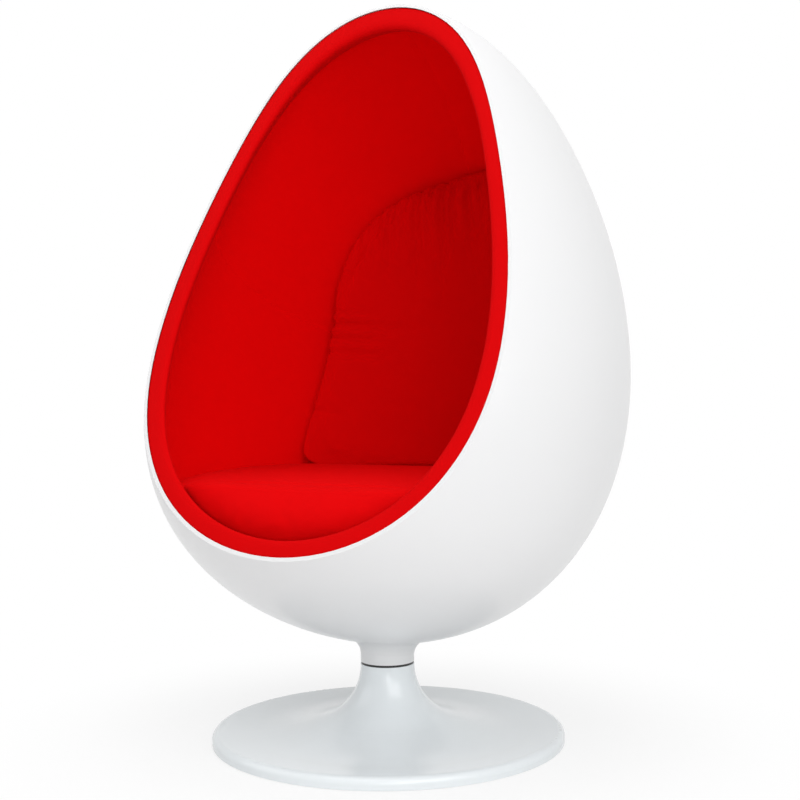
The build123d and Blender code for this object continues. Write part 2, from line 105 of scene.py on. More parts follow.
# %% The opening's plane
OPENING_LEAN = radians(22.2)
OPENING_POINT = np.array([0, -0.241, 0.650])
OUT = np.array([0, -cos(OPENING_LEAN), sin(OPENING_LEAN)])
SIDE = np.array([1.0, 0, 0])
UP_SLOPE = np.array([0, sin(OPENING_LEAN), cos(OPENING_LEAN)])
UP = np.array([0, 0, 1])
CENTRE_RISE = 0.11
OPENING_CENTRE = OPENING_POINT + CENTRE_RISE * UP_SLOPE


def depth(points):
    """How far points lie behind the opening's plane."""
    return (OPENING_POINT - points) @ OUT


# %% Small helpers for meshes
CREASE_ANGLE = radians(50)
SAME_POINT = 1e-6


def finished(name, bm):
    """Turns a bmesh into a linked object at the origin, smooth up to its sharp edges."""
    mesh = bpy.data.meshes.new(name)
    bm.to_mesh(mesh)
    bm.free()
    mesh.shade_smooth()
    mesh.set_sharp_from_angle(angle=CREASE_ANGLE)
    piece = bpy.data.objects.new(name, mesh)
    bpy.context.scene.collection.objects.link(piece)
    print(name, len(mesh.polygons), "faces")
    return piece


def coordinates(bm):
    return np.array([vertex.co for vertex in bm.verts])


def move_to(bm, points):
    for vertex, point in zip(bm.verts, points):
        vertex.co = point


def in_body(piece, body, node):
    """Attaches a piece to its body and hides the CAD node it stands in for."""
    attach(piece, body)
    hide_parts(node)


def subdivided(piece):
    smoothing = piece.modifiers.new("smooth", "SUBSURF")
    smoothing.levels = 1
    smoothing.render_levels = 1


# %% [markdown]
# ## The padded roll round the opening
#
# On the real chair a strip of foam is glued inside the shell's edge and covered with
# wool that turns softly inwards and runs on into the lining. It could be a swept curve
# with a bevel object, but the section has to keep its distance from the shell all the
# way round. So a ring of the right topology is spun first, and each of its points is
# then sent along a ray until it lies at its own depth behind the opening and its own
# distance inside the egg.

# %% Rim roll
RIM_SETBACK = 0.0016
RIM_DEPTH = 0.0422
RIM_STEPS = 240
# The section, as distance inside the shell and depth behind the opening. It starts at
# the shell's lip, goes over the crest and falls away softly to the lining.
RIM_SECTION = (
    (0.0003, 0.0012), (0.0012, 0.0003), (0.0060, 0.0), (0.0130, 0.0), (0.0190, 0.0003),
    (0.0240, 0.0016), (0.0282, 0.0044), (0.0308, 0.0085), (0.0320, 0.0135), (0.0320, 0.0190),
    (0.0314, 0.0245), (0.0304, 0.0300), (0.0291, 0.0350), (0.0280, 0.0390), (0.0274, 0.0410),
    (0.0270, 0.0419), (0.0264, 0.0421), (0.0150, 0.0421), (0.0010, 0.0420), (0.0003, 0.0412),
    (0.0003, 0.0250), (0.0003, 0.0120),
)
# How full the roll is at a height: it is fullest at the crown and flattest by the seat.
RIM_FULLNESS = ((0.30, 0.86), (0.45, 0.90), (0.65, 1.0), (1.05, 1.0), (1.25, 1.28))


def fullness(height):
    return np.interp(height, *np.transpose(RIM_FULLNESS))


def rim_roll():
    bm = bmesh.new()
    section = [bm.verts.new((1 + inset, 0, deep)) for inset, deep in RIM_SECTION]
    loop = [bm.edges.new(pair) for pair in zip(section, section[1:] + section[:1])]
    bmesh.ops.spin(
        bm, geom=section + loop, cent=(0, 0, 0), axis=(0, 0, 1), angle=2 * pi,
        steps=RIM_STEPS, use_merge=True)
    bmesh.ops.remove_doubles(bm, verts=bm.verts, dist=SAME_POINT)
    spun = coordinates(bm)
    turn = np.arctan2(spun[:, 1], spun[:, 0])
    inset = np.hypot(spun[:, 0], spun[:, 1]) - 1
    starts = OPENING_CENTRE - (spun[:, 2] + RIM_SETBACK)[:, None] * OUT
    rays = np.cos(turn)[:, None] * SIDE + np.sin(turn)[:, None] * UP_SLOPE
    plain = starts + reach(starts, rays, inset + SHELL_WALL)[:, None] * rays
    inset *= fullness(plain[:, 2])
    move_to(bm, starts + reach(starts, rays, inset + SHELL_WALL)[:, None] * rays)
    bmesh.ops.recalc_face_normals(bm, faces=bm.faces)
    return finished("rim_roll_cover", bm)


rim = rim_roll()
subdivided(rim)
in_body(rim, "pod", "rim_roll")

# %% [markdown]
# ## The lining in four sewn panels
#
# The lining is foam under wool, sewn from four panels. The seams run over the crown and
# down the back, and from both sides of the opening towards the back. Seen from inside,
# each panel is a shallow pillow that dips to its seams. Rays from one point on the line
# where the seams would all meet give each panel straight edges along its seams.

# %% Where the seams meet
SEAM_FALL = radians(25.8)
SEAM_START = np.array([0, -0.063, 0.904])
SEAM_AXIS = np.array([0, cos(SEAM_FALL), -sin(SEAM_FALL)])
SEAM_UP = np.array([0, sin(SEAM_FALL), cos(SEAM_FALL)])
SEAM_EYE_DEPTH = 0.15
SEAM_EYE = SEAM_START + SEAM_EYE_DEPTH * SEAM_AXIS
ROLL_GAP = 0.0003
LINING_FRONT = RIM_SETBACK + RIM_DEPTH + ROLL_GAP
SEAM_DIP = 0.0022
SEAM_SOFTNESS = 0.006
SEAM_SEEN_FROM = 0.055
SEAM_SEEN_TO = 0.075
PUCKER_DIP = 0.009
PUCKER_DEPTH = 0.069
PUCKER_SIZE = 0.009
# Behind the roll the padding is thicker, and thins out towards the back. Next to the
# seat and under the crown it is plain.
FRONT_SWELL = 0.007
SWELL_FADE = 0.040
SWELL_FADE_POWER = 1.5
SWELL_LOW = (0.470, 0.560)
SWELL_HIGH = (1.080, 1.190)
SHELL_GAP = 0.0004
DECK_TOP = 0.340
DECK_GAP = 0.001
LINING_GRID = (84, 100)
# Each panel stops just short of the point where its rays would all run together.
PANEL_REACH = 0.995
WIDEST_TILT = radians(175)
TILT_HALVINGS = 30


def lining_rays(turn, tilt):
    """Directions that lean away from the seam axis by tilt, turned about it by turn."""
    round_axis = np.cos(turn)[:, None] * SIDE + np.sin(turn)[:, None] * SEAM_UP
    return np.cos(tilt)[:, None] * SEAM_AXIS + np.sin(tilt)[:, None] * round_axis


def smooth_step(value, low, high):
    """0 below low and 1 above high, with a soft change between."""
    share = np.clip((value - low) / (high - low), 0, 1)
    return share * share * (3 - 2 * share)


def front_tilt(turn, inset):
    """How far rays lean where they meet the front edge of the lining."""
    near = np.zeros(len(turn))
    far = np.full(len(turn), WIDEST_TILT)
    for _ in range(TILT_HALVINGS):
        middle = (near + far) / 2
        rays = lining_rays(turn, middle)
        hit = SEAM_EYE + reach(np.tile(SEAM_EYE, (len(turn), 1)), rays, inset)[:, None] * rays
        before = depth(hit) < LINING_FRONT
        far = np.where(before, middle, far)
        near = np.where(before, near, middle)
    return near


def lining_panel(name, start, end):
    """One panel between two seams, given by their turns about the seam axis."""
    bm = bmesh.new()
    bmesh.ops.create_grid(bm, x_segments=LINING_GRID[0], y_segments=LINING_GRID[1], size=0.5)
    bmesh.ops.translate(bm, verts=bm.verts, vec=(0.5, 0.5, 0))
    made = bmesh.ops.extrude_face_region(bm, geom=bm.faces[:])
    back = [part for part in made["geom"] if isinstance(part, bmesh.types.BMVert)]
    bmesh.ops.translate(bm, verts=back, vec=(0, 0, 1))
    flat = coordinates(bm)
    across, along, is_back = flat[:, 0], flat[:, 1], flat[:, 2] > 0.5
    turn = start + (end - start) * across
    eye = np.tile(SEAM_EYE, (len(turn), 1))
    plain = np.where(is_back, SHELL_WALL + SHELL_GAP, SHELL_WALL + LINING)
    edge_rays = lining_rays(turn, front_tilt(turn, plain))
    edge_height = SEAM_EYE[2] + reach(eye, edge_rays, plain) * edge_rays[:, 2]
    swelled = smooth_step(edge_height, *SWELL_LOW) - smooth_step(edge_height, *SWELL_HIGH)
    swell = np.where(is_back, 0, FRONT_SWELL * swelled)
    tilt = front_tilt(turn, plain + swell) * (1 - along * PANEL_REACH)
    rays = lining_rays(turn, tilt)
    far = reach(eye, rays, plain + swell)
    behind = depth(SEAM_EYE + far[:, None] * rays) - LINING_FRONT
    # Towards a seam the padding thins out, with a round shoulder.
    to_seam = np.maximum(far * np.sin(tilt) * np.minimum(turn - start, end - turn), 0)
    seen = smooth_step(behind + LINING_FRONT, SEAM_SEEN_FROM, SEAM_SEEN_TO)
    dip = SEAM_DIP * seen * np.exp(-to_seam / SEAM_SOFTNESS)
    from_pucker = np.hypot(to_seam, behind + LINING_FRONT - PUCKER_DEPTH)
    dip += PUCKER_DIP * np.exp(-(from_pucker / PUCKER_SIZE) ** 2)
    fading = np.exp(-(np.maximum(behind, 0) / SWELL_FADE) ** SWELL_FADE_POWER)
    thickened = plain + swell * fading - dip
    far = reach(eye, rays, np.where(is_back, plain, thickened))
    move_to(bm, SEAM_EYE + far[:, None] * rays)
    bmesh.ops.bisect_plane(
        bm, geom=bm.verts[:] + bm.edges[:] + bm.faces[:], dist=SAME_POINT,
        plane_co=(0, 0, DECK_TOP + DECK_GAP), plane_no=(0, 0, -1), clear_outer=True)
    open_edges = [edge for edge in bm.edges if edge.is_boundary]
    if open_edges:
        bmesh.ops.holes_fill(bm, edges=open_edges, sides=0)
    bmesh.ops.recalc_face_normals(bm, faces=bm.faces)
    return finished(name, bm)


QUARTER = pi / 2
PANELS = {
    "lining_upper_right": (0, QUARTER),
    "lining_upper_left": (QUARTER, 2 * QUARTER),
    "lining_lower_left": (2 * QUARTER, 3 * QUARTER),
    "lining_lower_right": (3 * QUARTER, 4 * QUARTER),
}
linings = {}
for node, (start, end) in PANELS.items():
    panel = lining_panel(node + "_cover", start, end)
    in_body(panel, "pod", node)
    linings[node] = panel

# %% [markdown]
# ## Plump cushions
#
# Loose cushions are bags of wool cloth pulled tight over soft filling. A bevelled block
# would look like a block, so each cushion starts as a slightly small, plain form of even
# little quads: the seat is remeshed into them, and the back cushion starts as a grid. The
# cloth simulation blows the form up with air pressure, which rounds it as filling does.
# What would push through the lining, the roll or the deck is pressed back, as it is on
# the chair.

# %% Blowing up a cushion
CUSHION_VOXEL = 0.006
CUSHION_FRAMES = 20
CUSHION_PRESSURE = 4.0
CLOTH_STIFFNESS = 12
CLOTH_BENDING = 0.6
TINY = 1e-9


def remeshed(piece):
    """Even quads all over, in place of the mesh as built."""
    remesh = piece.modifiers.new("remesh", "REMESH")
    remesh.mode = "VOXEL"
    remesh.voxel_size = CUSHION_VOXEL
    apply_all(piece)


def apply_all(piece):
    """Makes what the modifiers show into the mesh itself."""
    shown = piece.evaluated_get(bpy.context.evaluated_depsgraph_get())
    mesh = bpy.data.meshes.new_from_object(shown)
    mesh.name = piece.name
    piece.modifiers.clear()
    piece.data = mesh
    mesh.shade_smooth()


def positions(piece):
    flat = np.empty(len(piece.data.vertices) * 3)
    piece.data.vertices.foreach_get("co", flat)
    return flat.reshape(-1, 3)


def place(piece, points):
    piece.data.vertices.foreach_set("co", points.astype(np.float32).ravel())
    piece.data.update()


def blown_up(piece, cap):
    """Fills a closed cushion with air, and lets no point travel further than cap."""
    before = positions(piece)
    cloth = piece.modifiers.new("cloth", "CLOTH")
    cloth.settings.use_pressure = True
    cloth.settings.uniform_pressure_force = CUSHION_PRESSURE
    cloth.settings.effector_weights.gravity = 0
    cloth.settings.tension_stiffness = CLOTH_STIFFNESS
    cloth.settings.compression_stiffness = CLOTH_STIFFNESS
    cloth.settings.bending_stiffness = CLOTH_BENDING
    cloth.point_cache.frame_start = 1
    cloth.point_cache.frame_end = CUSHION_FRAMES
    for number in range(1, CUSHION_FRAMES + 1):
        bpy.context.scene.frame_set(number)
    apply_all(piece)
    after = positions(piece)
    moved = after - before
    far = np.linalg.norm(moved, axis=1)
    print(piece.name, "swelled by up to", round(far.max(), 4))
    share = np.minimum(1, cap / np.maximum(far, TINY))
    place(piece, before + share[:, None] * moved)
    bpy.context.scene.frame_set(1)


def kept_inside(points, inset, front, floor):
    """Presses points back into the drawn-in egg, behind a depth and above a height."""
    centre, radius = egg_slice(points[:, 2], inset)
    level = np.column_stack([points[:, 0], points[:, 1] - centre])
    far = np.linalg.norm(level, axis=1)
    share = np.minimum(1, radius / np.maximum(far, TINY))
    points = np.column_stack([
        level[:, 0] * share, level[:, 1] * share + centre, np.maximum(points[:, 2], floor)])
    lack = np.maximum(front - depth(points), 0)
    return points - lack[:, None] * OUT


def smoothed(piece, times):
    bm = bmesh.new()
    bm.from_mesh(piece.data)
    for _ in range(times):
        bmesh.ops.smooth_vert(
            bm, verts=bm.verts, factor=0.5, use_axis_x=True, use_axis_y=True, use_axis_z=True)
    bm.to_mesh(piece.data)
    bm.free()


# %% [markdown]
# ## Seat cushion
#
# A round, thick cushion fills the bottom of the egg and stops at the roll in front. Its
# section is spun about the middle, the front is cut off along the opening, and air
# rounds it. Then its top settles, its front edge is rounded, and the front swells out
# above the roll's crest, where a narrow crevice parts it from the roll.

# %% Seat cushion
SEAT_Y = -0.006
SEAT_SECTION = (
    (0.0, 0.350), (0.290, 0.350), (0.313, 0.356), (0.326, 0.368), (0.340, 0.390), (0.356, 0.420),
    (0.3670, 0.4440), (0.3695, 0.4540), (0.3670, 0.4605), (0.358, 0.4645), (0.330, 0.4658),
    (0.150, 0.4670), (0.0, 0.4675),
)
SEAT_STEPS = 96
SEAT_SAME_POINT = 1e-5
SEAT_FRONT = 0.047
SEAT_CLEAR = 0.0008
SEAT_SWELL = 0.005
SEAT_TOP = 0.4680
SEAT_FALL = 0.005
SEAT_FALL_BACK = 0.160
SEAT_PRESSED = 0.010
SEAT_PRESSED_FROM = (0.40, 0.52)
SEAT_ROUND = 0.050
SEAT_CORNER_ROUND = 0.014
SEAT_CORNER = 0.12
SEAT_BULGE = 0.014
BULGE_FADE = (LINING_FRONT + 0.010, LINING_FRONT + 0.050)
BULGE_HEIGHT = 0.05
CREVICE_DEPTH = 0.011
CREVICE_SOFTNESS = 0.003
CREVICE_FLOOR = (-0.016, -0.006)
CREVICE_ENDS = (0.06, 0.12)
# How far above the roll's crest the front swells out. The seat is pushed a little to
# the left, so its lip is higher on the right.
LIP_MIDDLE = 0.009
LIP_SLOPE = 0.085
LIP_RANGE = (-0.012, 0.011)
ROLL_CREST = 0.032
CREST_DEPTH = 0.0166


def seat_cushion():
    bm = bmesh.new()
    section = [bm.verts.new((radius, 0, height)) for radius, height in SEAT_SECTION]
    line = [bm.edges.new(pair) for pair in zip(section, section[1:])]
    bmesh.ops.spin(
        bm, geom=section + line, cent=(0, 0, 0), axis=(0, 0, 1), angle=2 * pi,
        steps=SEAT_STEPS, use_merge=True)
    bmesh.ops.remove_doubles(bm, verts=bm.verts, dist=SEAT_SAME_POINT)
    bmesh.ops.translate(bm, verts=bm.verts, vec=(0, SEAT_Y, 0))
    bmesh.ops.bisect_plane(
        bm, geom=bm.verts[:] + bm.edges[:] + bm.faces[:], dist=SAME_POINT,
        plane_co=OPENING_POINT - SEAT_FRONT * OUT, plane_no=OUT, clear_outer=True)
    bmesh.ops.holes_fill(bm, edges=[edge for edge in bm.edges if edge.is_boundary], sides=0)
    bmesh.ops.recalc_face_normals(bm, faces=bm.faces)
    return finished("seat_cushion_cover", bm)


def settled(points):
    """Lowers the top a little towards the front, and more under the back cushion."""
    deep = depth(points)
    fall = SEAT_FALL * (1 - np.clip((deep - LINING_FRONT) / SEAT_FALL_BACK, 0, 1)) ** 2
    fall += SEAT_PRESSED * smooth_step(deep, *SEAT_PRESSED_FROM)
    stretch = np.clip((points[:, 2] - DECK_TOP) / (SEAT_TOP - DECK_TOP), 0, 1)
    return points - (fall * stretch)[:, None] * UP


def front_rounded(points):
    """Rounds the slanting edge between the seat's top and its front."""
    centre, radius = egg_slice(points[:, 2], SHELL_WALL + LINING)
    from_lining = radius - np.hypot(points[:, 0], points[:, 1] - centre)
    to_middle = smooth_step(from_lining, 0, SEAT_CORNER)
    bend = SEAT_CORNER_ROUND + (SEAT_ROUND - SEAT_CORNER_ROUND) * to_middle
    in_front = bend - (depth(points) - LINING_FRONT - SEAT_CLEAR)
    on_top = bend - (SEAT_TOP - SEAT_FALL - points[:, 2])
    slant = OUT[2]
    forward = (in_front - slant * on_top) / (1 - slant**2)
    upward = (on_top - slant * in_front) / (1 - slant**2)
    far = np.sqrt(np.maximum(forward**2 + upward**2 + 2 * slant * forward * upward, 1e-12))
    over = np.where((forward > 0) & (upward > 0), np.maximum(1 - bend / far, 0), 0)
    return points - (over * forward)[:, None] * OUT - (over * upward)[:, None] * UP


def bulged(points):
    """Swells the front over the roll, and sinks it into a crevice where it meets the roll."""
    level = points + (depth(points) - CREST_DEPTH)[:, None] * OUT
    centre, radius = egg_slice(level[:, 2], SHELL_WALL + ROLL_CREST * fullness(level[:, 2]))
    lip = np.clip(LIP_MIDDLE + LIP_SLOPE * points[:, 0], *LIP_RANGE)
    above_crest = radius - np.hypot(level[:, 0], level[:, 1] - centre)
    above_lip = above_crest - lip
    face = np.maximum(above_lip, 0)
    below_top = np.maximum(SEAT_TOP - points[:, 2], 0)
    share = np.clip(face / np.maximum(face + below_top, 1e-6), 0, 1)
    in_front = 1 - smooth_step(depth(points), *BULGE_FADE)
    arched = np.sqrt(4 * share * (1 - share))
    swell = SEAT_BULGE * in_front * arched * smooth_step(face + below_top, 0, BULGE_HEIGHT)
    under_lip = 1 - smooth_step(above_lip, -CREVICE_SOFTNESS, CREVICE_SOFTNESS)
    sink = CREVICE_DEPTH * in_front * under_lip
    sink *= smooth_step(above_crest, *CREVICE_FLOOR) * (1 - smooth_step(points[:, 0], *CREVICE_ENDS))
    return points + (swell - sink)[:, None] * OUT


seat = seat_cushion()
remeshed(seat)
blown_up(seat, SEAT_SWELL)
smoothed(seat, 2)
subdivided(seat)
apply_all(seat)
pressed = kept_inside(
    settled(positions(seat)), SHELL_WALL + LINING + SEAT_CLEAR, LINING_FRONT + SEAT_CLEAR,
    DECK_TOP + SEAT_CLEAR)
place(seat, bulged(front_rounded(pressed)))
smoothed(seat, 2)
in_body(seat, "pod", "seat_cushion")
print("seat top", positions(seat)[:, 2].max())

# %% [markdown]
# ## Back cushion
#
# The back cushion leans on the curve of the egg. It starts as a grid, which is bent to
# the cushion's outline and laid against the lining, and is thickest low in the middle.
# Gathers run down from its top edge and short puckers in from its sides, where the
# cloth is pulled together in the seam.

# %% Back cushion
BACK_FOOT = 0.448
BACK_FLOOR = 0.4605
BACK_THICK = 0.068
BACK_CROWN = 0.016
BACK_SIDE_EDGE = 0.054
BACK_TOP_EDGE = 0.020
BACK_ROUND = 0.016
BACK_MIDDLE = 0.700
BACK_REACH = 0.62
BACK_GRID = 84
BACK_GAP = 0.004
BACK_EDGE_TURN = (0.80, 0.95)
BACK_TIP_WIDTH = 0.06
BACK_SWELL = 0.005
BACK_TIP = 0.014           # the cushion sits a little askew, higher on its right
# Half the width at each height of the sides, and the height of the top line at each
# distance from the middle.
BACK_SIDES = (
    (0.448, 0.268), (0.462, 0.272), (0.470, 0.288), (0.482, 0.298), (0.505, 0.302), (0.550, 0.301),
    (0.600, 0.295), (0.666, 0.285), (0.720, 0.278), (0.761, 0.271), (0.810, 0.264), (0.849, 0.256),
    (0.880, 0.247), (0.905, 0.235),
)
BACK_TOP_LINE = (
    (0.0, 1.044), (0.040, 1.042), (0.080, 1.037), (0.120, 1.024), (0.150, 1.006), (0.178, 0.984),
    (0.200, 0.958), (0.220, 0.931), (0.235, 0.905),
)


def back_half_width(height):
    """Half the cushion's width at a height, seen from the front."""
    return np.interp(height, *np.transpose(BACK_SIDES))


def back_top_line(x):
    """Height of the top line at a distance from the middle."""
    return np.interp(np.abs(x), *np.transpose(BACK_TOP_LINE))


def back_cushion():
    bm = bmesh.new()
    bmesh.ops.create_grid(bm, x_segments=BACK_GRID, y_segments=BACK_GRID, size=1)
    made = bmesh.ops.extrude_face_region(bm, geom=bm.faces[:])
    front = [part for part in made["geom"] if isinstance(part, bmesh.types.BMVert)]
    bmesh.ops.translate(bm, verts=front, vec=(0, 0, 1))
    flat = coordinates(bm)
    across, share, is_front = flat[:, 0], (flat[:, 1] + 1) / 2, flat[:, 2] > 0.5
    top = back_top_line(across * BACK_SIDES[-1][1])
    height = BACK_FOOT + (top - BACK_FOOT) * share
    half = back_half_width(height)
    x = across * half
    centre, radius = egg_slice(height, SHELL_WALL + LINING + BACK_GAP)
    wall = centre + np.sqrt(np.maximum(radius**2 - x**2, 0))
    to_edge = np.minimum(half - np.abs(x), back_top_line(x) - height)
    swell = 1 - np.exp(-np.maximum(to_edge, 0) / BACK_ROUND)
    crown = BACK_CROWN * (1 - (x / half) ** 2)
    tall = 1 - ((height - BACK_MIDDLE) / BACK_REACH) ** 2
    to_top = smooth_step(height, *BACK_EDGE_TURN)
    edge = BACK_SIDE_EDGE + (BACK_TOP_EDGE - BACK_SIDE_EDGE) * to_top
    thick = edge + ((BACK_THICK + crown) * tall - edge) * swell
    y = np.where(is_front, wall - thick, wall)
    near_top = smooth_step(height, BACK_SIDES[-1][0], BACK_TOP_LINE[0][1])
    tipped = BACK_TIP * np.tanh(x / BACK_TIP_WIDTH) * near_top
    move_to(bm, np.column_stack([x, y, height + tipped]))
    bmesh.ops.recalc_face_normals(bm, faces=bm.faces)
    return finished("back_cushion_cover", bm)


backrest = back_cushion()
blown_up(backrest, BACK_SWELL)
smoothed(backrest, 3)

# %% Gathers and puckers
# Each gather: where it starts along the top edge, how long, how wide, how deep.
GATHERS = (
    (-0.205, 0.060, 0.007, 0.0047), (-0.168, 0.080, 0.007, 0.0061), (-0.140, 0.120, 0.008, 0.0081),
    (-0.112, 0.085, 0.006, 0.0068), (-0.088, 0.150, 0.009, 0.0101), (-0.060, 0.100, 0.006, 0.0074),
    (-0.036, 0.165, 0.008, 0.0108), (-0.010, 0.110, 0.006, 0.0081), (0.016, 0.150, 0.009, 0.0108),
    (0.044, 0.095, 0.006, 0.0074), (0.070, 0.130, 0.008, 0.0088), (0.100, 0.085, 0.006, 0.0068),
    (0.128, 0.110, 0.008, 0.0074), (0.165, 0.070, 0.007, 0.0054), (0.200, 0.055, 0.007, 0.0047),
)
GATHER_FAN = 0.008         # how far a gather drifts outwards over its length
GATHER_WIDENS = 0.7
GATHERS_BEGIN = (0.004, 0.030)
# Each pucker: its height on the side edge, how long, how wide, how deep.
PUCKERS = (
    (0.775, 0.070, 0.007, 0.0030), (0.748, 0.120, 0.009, 0.0060), (0.722, 0.085, 0.007, 0.0050),
    (0.692, 0.110, 0.008, 0.0045), (0.575, 0.060, 0.008, 0.0030), (0.850, 0.050, 0.008, 0.0030),
)
PUCKER_FALL = 0.010        # how far a pucker drops over its length
PUCKER_WIDENS = 0.6


def creased(points):
    """How far each point sinks in the gathers and puckers, and rises beside them."""
    x, height = points[:, 0], points[:, 2]
    below = np.maximum(back_top_line(x) - height, 0)
    sink = np.zeros(len(points))
    for middle, length, width, deep in GATHERS:
        down = below / length
        off = (x - middle - GATHER_FAN * down * np.sign(middle)) / (width * (1 + GATHER_WIDENS * down))
        sink += deep * np.exp(-down**2) * (1 - off**2) * np.exp(-off**2)
    sink *= smooth_step(below, *GATHERS_BEGIN)
    from_side = np.maximum(back_half_width(height) - np.abs(x), 0)
    for level, length, width, deep in PUCKERS:
        inward = from_side / length
        off = (height - level + PUCKER_FALL * inward) / (width * (1 + PUCKER_WIDENS * inward))
        sink += deep * np.exp(-inward**2) * (1 - off**2) * np.exp(-off**2)
    return sink


def normals(piece):
    flat = np.empty(len(piece.data.vertices) * 3)
    piece.data.vertex_normals.foreach_get("vector", flat)
    return flat.reshape(-1, 3)


subdivided(backrest)
apply_all(backrest)
points = positions(backrest)
points -= creased(points)[:, None] * normals(backrest)
place(backrest, kept_inside(points, SHELL_WALL + LINING + SEAT_CLEAR, LINING_FRONT, BACK_FLOOR))
in_body(backrest, "pod", "back_cushion")

# %% [markdown]
# ## Finishes
#
# The wool is felted: no weave shows at arm's length, only a fine nap, soft mottling and
# a dull sheen. Its effect is a node group, used in three materials. All three are one wool,
# but its red is painted lighter on the lining, as painted light, and darker on the roll, as
# painted shade; the cushions' red lies between.
# The shell is gelcoat on glass fibre, deep gloss with the faint waviness of orange peel.

# %% Node helpers
def new_group(name, inputs, outputs):
    """A shader node group with named sockets, and its input and output nodes."""
    group = bpy.data.node_groups.new(name, "ShaderNodeTree")
    for label, kind, value in inputs:
        socket = group.interface.new_socket(label, in_out="INPUT", socket_type=kind)
        socket.default_value = value
    for label, kind in outputs:
        group.interface.new_socket(label, in_out="OUTPUT", socket_type=kind)
    return group, group.nodes.new("NodeGroupInput"), group.nodes.new("NodeGroupOutput")


def noise(tree, place, scale, detail, roughness):
    texture = tree.nodes.new("ShaderNodeTexNoise")
    tree.links.new(place, texture.inputs["Vector"])
    texture.inputs["Scale"].default_value = scale
    texture.inputs["Detail"].default_value = detail
    texture.inputs["Roughness"].default_value = roughness
    return texture.outputs["Fac"]


def stretch(tree, value, low, high):
    """Maps 0..1 to low..high."""
    ramp = tree.nodes.new("ShaderNodeMapRange")
    tree.links.new(value, ramp.inputs["Value"])
    ramp.inputs["To Min"].default_value = low
    ramp.inputs["To Max"].default_value = high
    return ramp.outputs["Result"]


def add(tree, first, second):
    node = tree.nodes.new("ShaderNodeMath")
    node.operation = "ADD"
    tree.links.new(first, node.inputs[0])
    tree.links.new(second, node.inputs[1])
    return node.outputs[0]


# %% Felted wool
def wool_group():
    group, given, result = new_group(
        "felted_wool",
        [("Colour", "NodeSocketColor", (0.7, 0, 0, 1)), ("Mottle", "NodeSocketFloat", 0.06)],
        [("Colour", "NodeSocketColor"), ("Roughness", "NodeSocketFloat"), ("Height", "NodeSocketFloat")])
    place = group.nodes.new("ShaderNodeTexCoord").outputs["Object"]
    nap = noise(group, place, 900, 3, 0.7)
    fibres = noise(group, place, 2600, 1, 0.5)
    clouds = noise(group, place, 14, 3, 0.55)
    shade = group.nodes.new("ShaderNodeMath")
    shade.operation = "MULTIPLY_ADD"
    centred = stretch(group, add(group, nap, clouds), -1, 0)
    group.links.new(centred, shade.inputs[0])
    group.links.new(given.outputs["Mottle"], shade.inputs[1])
    shade.inputs[2].default_value = 1.0
    tint = group.nodes.new("ShaderNodeVectorMath")
    tint.operation = "SCALE"
    group.links.new(given.outputs["Colour"], tint.inputs[0])
    group.links.new(shade.outputs[0], tint.inputs["Scale"])
    group.links.new(tint.outputs[0], result.inputs["Colour"])
    group.links.new(stretch(group, nap, 0.82, 0.96), result.inputs["Roughness"])
    group.links.new(add(group, nap, fibres), result.inputs["Height"])
    return group


def material(name):
    made = bpy.data.materials.new(name)
    made.use_nodes = True
    return made, made.node_tree, made.node_tree.nodes["Principled BSDF"]


def bumped(tree, shader, height, strength, distance):
    bump = tree.nodes.new("ShaderNodeBump")
    bump.inputs["Strength"].default_value = strength
    bump.inputs["Distance"].default_value = distance
    tree.links.new(height, bump.inputs["Height"])
    tree.links.new(bump.outputs["Normal"], shader.inputs["Normal"])


WOOL = wool_group()


def wool_material(name, colour, mottle):
    made, tree, shader = material(name)
    cloth = tree.nodes.new("ShaderNodeGroup")
    cloth.node_tree = WOOL
    cloth.inputs["Colour"].default_value = (*colour, 1)
    cloth.inputs["Mottle"].default_value = mottle
    tree.links.new(cloth.outputs["Colour"], shader.inputs["Base Color"])
    tree.links.new(cloth.outputs["Roughness"], shader.inputs["Roughness"])
    bumped(tree, shader, cloth.outputs["Height"], 0.25, 0.0006)
    shader.inputs["Specular IOR Level"].default_value = 0.05
    shader.inputs["Sheen Weight"].default_value = 0.03
    shader.inputs["Sheen Roughness"].default_value = 0.5
    shader.inputs["Sheen Tint"].default_value = (1, 0.05, 0.05, 1)
    return made


WOOL_MOTTLE = 0.07
# The same wool in three reds: the lining's is painted lighter, as painted light, and the roll's is
# painted darker, as painted shade. The cushions' red lies between.
LINING_RED_PAINTED_LIGHTER = (0.86, 0.0005, 0.0015)
CUSHION_RED = (0.71, 0.0005, 0.0015)
ROLL_RED_PAINTED_DARKER = (0.64, 0.0005, 0.0015)
wool_lining_painted_lighter = wool_material("wool_lining_painted_lighter", LINING_RED_PAINTED_LIGHTER, WOOL_MOTTLE)
wool_cushion = wool_material("wool_cushion", CUSHION_RED, WOOL_MOTTLE)
wool_roll_painted_darker = wool_material("wool_roll_painted_darker", ROLL_RED_PAINTED_DARKER, WOOL_MOTTLE)


# %% Gloss white
SMUDGE_LOW = 0.92
SMUDGE_HIGH = 1.08


def gloss_material(name, colour, roughness, peel):
    """Gelcoat or lacquer: a deep gloss with a trace of orange peel."""
    made, tree, shader = material(name)
    place = tree.nodes.new("ShaderNodeTexCoord").outputs["Object"]
    waves = noise(tree, place, 90, 2, 0.5)
    smudges = noise(tree, place, 7, 3, 0.6)
    shader.inputs["Base Color"].default_value = (*colour, 1)
    smudged = stretch(tree, smudges, roughness * SMUDGE_LOW, roughness * SMUDGE_HIGH)
    tree.links.new(smudged, shader.inputs["Roughness"])
    bumped(tree, shader, waves, peel, 0.0004)
    shader.inputs["Coat Weight"].default_value = 0.25
    shader.inputs["Coat Roughness"].default_value = 0.08
    return made


